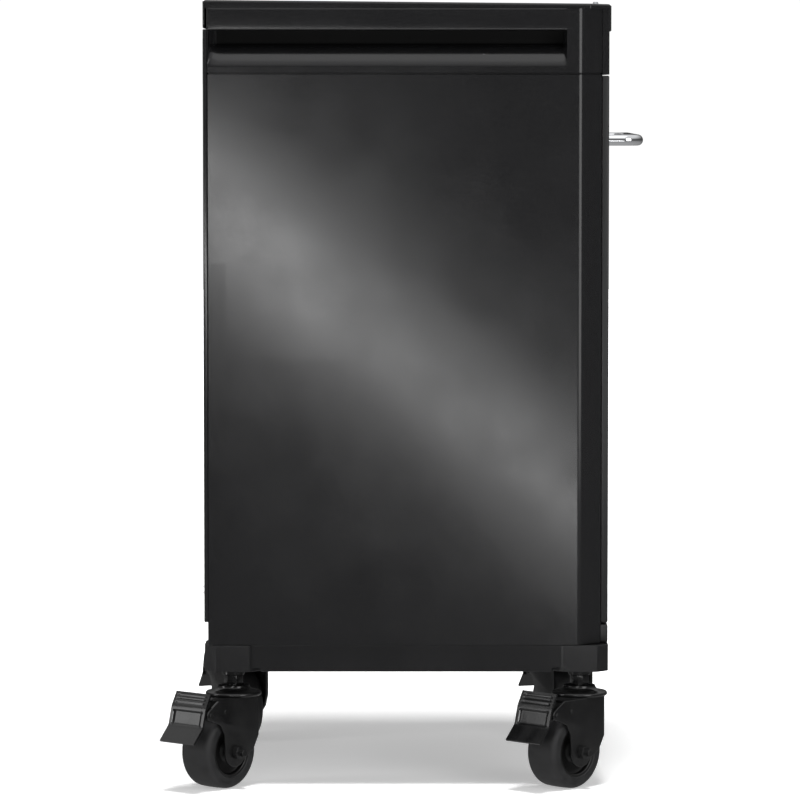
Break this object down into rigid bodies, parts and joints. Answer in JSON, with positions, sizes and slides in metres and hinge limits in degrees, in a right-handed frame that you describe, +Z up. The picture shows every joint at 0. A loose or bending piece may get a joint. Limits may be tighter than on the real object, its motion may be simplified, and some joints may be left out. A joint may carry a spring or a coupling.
{
  "type": "trash compactor",
  "caption": "Freestanding black sheet-steel trash compactor with a drawer, a chrome bow handle, side hand grips and braked swivel casters.",
  "frame": {"origin": "on the floor under the middle of the cabinet", "axes": "+X across the width to the user's right as they face the front, -Y out of the drawer front, +Z up"},
  "size_m": [0.4994, 0.5179, 0.8415],
  "materials": {
    "cabinet_black": "fine textured satin powder coat",
    "foot_black": "satin paint",
    "galvanised": "galvanised sheet",
    "zinc_plated": "bright zinc plate",
    "machined_steel": "turned, lightly oiled",
    "motor_casing": "gloss enamel",
    "black_plastic": "matte",
    "circuit_board": "solder mask",
    "liner_white": "moulded, satin",
    "bin_grey": "moulded, matte",
    "handle_chrome": "polished",
    "bronze": "machined",
    "start_green": "gloss",
    "stop_red": "gloss",
    "lock_chrome": "satin chrome",
    "fork_black": "gloss electro-coat",
    "hub_black": "moulded nylon",
    "tyre_rubber": "matte rubber",
    "pedal_black": "gloss electro-coat"
  },
  "bodies": {
    "cabinet": {"base_frame": "cabinet_black", "corner_feet": "foot_black", "floor_pan": "cabinet_black", "left_side_panel": "cabinet_black", "right_side_panel": "cabinet_black", "rear_panel": "cabinet_black", "toe_panel": "cabinet_black", "left_head_shell": "cabinet_black", "right_head_shell": "cabinet_black", "head_deck": "cabinet_black", "top_cover": "cabinet_black", "control_fascia": "cabinet_black", "power_inlet": "black_plastic", "cover_screws": "zinc_plated", "rear_screws": "zinc_plated", "motor": "motor_casing", "drive_chain": "machined_steel", "upper_bearings": "zinc_plated", "lower_bearings": "zinc_plated", "fixed_rails": "galvanised", "limit_switches": "black_plastic", "control_board": "circuit_board", "caster_stems": "fork_black"},
    "drawer": {"drawer_front": "cabinet_black", "drawer_liner": "liner_white", "drawer_handle": "handle_chrome", "handle_screws": "zinc_plated", "bin": "bin_grey", "moving_rails": "galvanised", "drawer_tray": "galvanised"},
    "ram": {"ram_plate": "galvanised", "ram_riser": "galvanised", "crosshead": "machined_steel", "drive_nuts": "bronze"},
    "left_power_screw": {"left_screw": "machined_steel", "left_sprocket": "machined_steel"},
    "right_power_screw": {"right_screw": "machined_steel", "right_sprocket": "machined_steel"},
    "motor_output": {"motor_shaft": "machined_steel", "motor_sprocket": "machined_steel"},
    "start": {"start_button": "start_green"},
    "stop": {"stop_button": "stop_red"},
    "key": {"key_plug": "lock_chrome"},
    "fl_swivel": {"caster_fl_fork": "fork_black"},
    "fl_wheel": {"caster_fl_hub": "hub_black", "caster_fl_tyre": "tyre_rubber"},
    "fl_pedal": {"caster_fl_pedal": "pedal_black"},
    "fr_swivel": {"caster_fr_fork": "fork_black"},
    "fr_wheel": {"caster_fr_hub": "hub_black", "caster_fr_tyre": "tyre_rubber"},
    "fr_pedal": {"caster_fr_pedal": "pedal_black"},
    "rl_swivel": {"caster_rl_fork": "fork_black"},
    "rl_wheel": {"caster_rl_hub": "hub_black", "caster_rl_tyre": "tyre_rubber"},
    "rl_pedal": {"caster_rl_pedal": "pedal_black"},
    "rr_swivel": {"caster_rr_fork": "fork_black"},
    "rr_wheel": {"caster_rr_hub": "hub_black", "caster_rr_tyre": "tyre_rubber"},
    "rr_pedal": {"caster_rr_pedal": "pedal_black"}
  },
  "joints": [
    {"name": "drawer_slide", "type": "slide", "parent": "cabinet", "child": "drawer", "axis": [0, -1, 0], "range_m": [0, 0.3]},
    {"name": "ram_slide", "type": "slide", "parent": "cabinet", "child": "ram", "axis": [0, 0, 1], "range_m": [-0.165, 0]},
    {"name": "left_screw_turn", "type": "hinge", "parent": "cabinet", "child": "left_power_screw", "pos_m": [-0.163, -0.019, 0.5], "axis": [0, 0, 1], "range_deg": [-6000, 0]},
    {"name": "right_screw_turn", "type": "hinge", "parent": "cabinet", "child": "right_power_screw", "pos_m": [0.163, -0.019, 0.5], "axis": [0, 0, 1], "range_deg": [-6000, 0]},
    {"name": "motor_turn", "type": "hinge", "parent": "cabinet", "child": "motor_output", "pos_m": [0, 0.095, 0.76], "axis": [0, 0, 1], "range_deg": [-8200, 0]},
    {"name": "start_press", "type": "slide", "parent": "cabinet", "child": "start", "axis": [0, 1, 0], "range_m": [0, 0.003], "stiffness_N_per_m": 400, "springref_m": -0.002},
    {"name": "stop_press", "type": "slide", "parent": "cabinet", "child": "stop", "axis": [0, 1, 0], "range_m": [0, 0.003], "stiffness_N_per_m": 400, "springref_m": -0.002},
    {"name": "key_turn", "type": "hinge", "parent": "cabinet", "child": "key", "pos_m": [-0.1, -0.216, 0.7865], "axis": [0, -1, 0], "range_deg": [0, 90]},
    {"name": "fl_swivel_turn", "type": "hinge", "parent": "cabinet", "child": "fl_swivel", "pos_m": [-0.1605, -0.186, 0.1], "axis": [0, 0, 1], "continuous": true},
    {"name": "fl_wheel_roll", "type": "hinge", "parent": "fl_swivel", "child": "fl_wheel", "pos_m": [-0.17812, -0.16898, 0.04], "axis": [-0.6947, -0.7193, 0], "continuous": true},
    {"name": "fl_pedal_press", "type": "hinge", "parent": "fl_swivel", "child": "fl_pedal", "pos_m": [-0.20618, -0.14189, 0.083], "axis": [-0.6947, -0.7193, 0], "range_deg": [0, 25]},
    {"name": "fr_swivel_turn", "type": "hinge", "parent": "cabinet", "child": "fr_swivel", "pos_m": [0.1605, -0.186, 0.1], "axis": [0, 0, 1], "continuous": true},
    {"name": "fr_wheel_roll", "type": "hinge", "parent": "fr_swivel", "child": "fr_wheel", "pos_m": [0.18337, -0.17722, 0.04], "axis": [-0.3584, 0.9336, 0], "continuous": true},
    {"name": "fr_pedal_press", "type": "hinge", "parent": "fr_swivel", "child": "fr_pedal", "pos_m": [0.21978, -0.16324, 0.083], "axis": [-0.3584, 0.9336, 0], "range_deg": [0, 25]},
    {"name": "rl_swivel_turn", "type": "hinge", "parent": "cabinet", "child": "rl_swivel", "pos_m": [-0.1605, 0.186, 0.1], "axis": [0, 0, 1], "continuous": true},
    {"name": "rl_wheel_roll", "type": "hinge", "parent": "rl_swivel", "child": "rl_wheel", "pos_m": [-0.17927, 0.20175, 0.04], "axis": [-0.6428, -0.766, 0], "continuous": true},
    {"name": "rl_pedal_press", "type": "hinge", "parent": "rl_swivel", "child": "rl_pedal", "pos_m": [-0.20914, 0.22682, 0.083], "axis": [-0.6428, -0.766, 0], "range_deg": [0, 25]},
    {"name": "rr_swivel_turn", "type": "hinge", "parent": "cabinet", "child": "rr_swivel", "pos_m": [0.1605, 0.186, 0.1], "axis": [0, 0, 1], "continuous": true},
    {"name": "rr_wheel_roll", "type": "hinge", "parent": "rr_swivel", "child": "rr_wheel", "pos_m": [0.18337, 0.19478, 0.04], "axis": [-0.3584, 0.9336, 0], "continuous": true},
    {"name": "rr_pedal_press", "type": "hinge", "parent": "rr_swivel", "child": "rr_pedal", "pos_m": [0.21978, 0.20876, 0.083], "axis": [-0.3584, 0.9336, 0], "range_deg": [0, 25]}
  ],
  "couplings": [
    {"joint": "left_screw_turn", "follows": "ram_slide", "rad_per_m": 628.32},
    {"joint": "right_screw_turn", "follows": "ram_slide", "rad_per_m": 628.32},
    {"joint": "motor_turn", "follows": "ram_slide", "rad_per_m": 837.76}
  ]
}
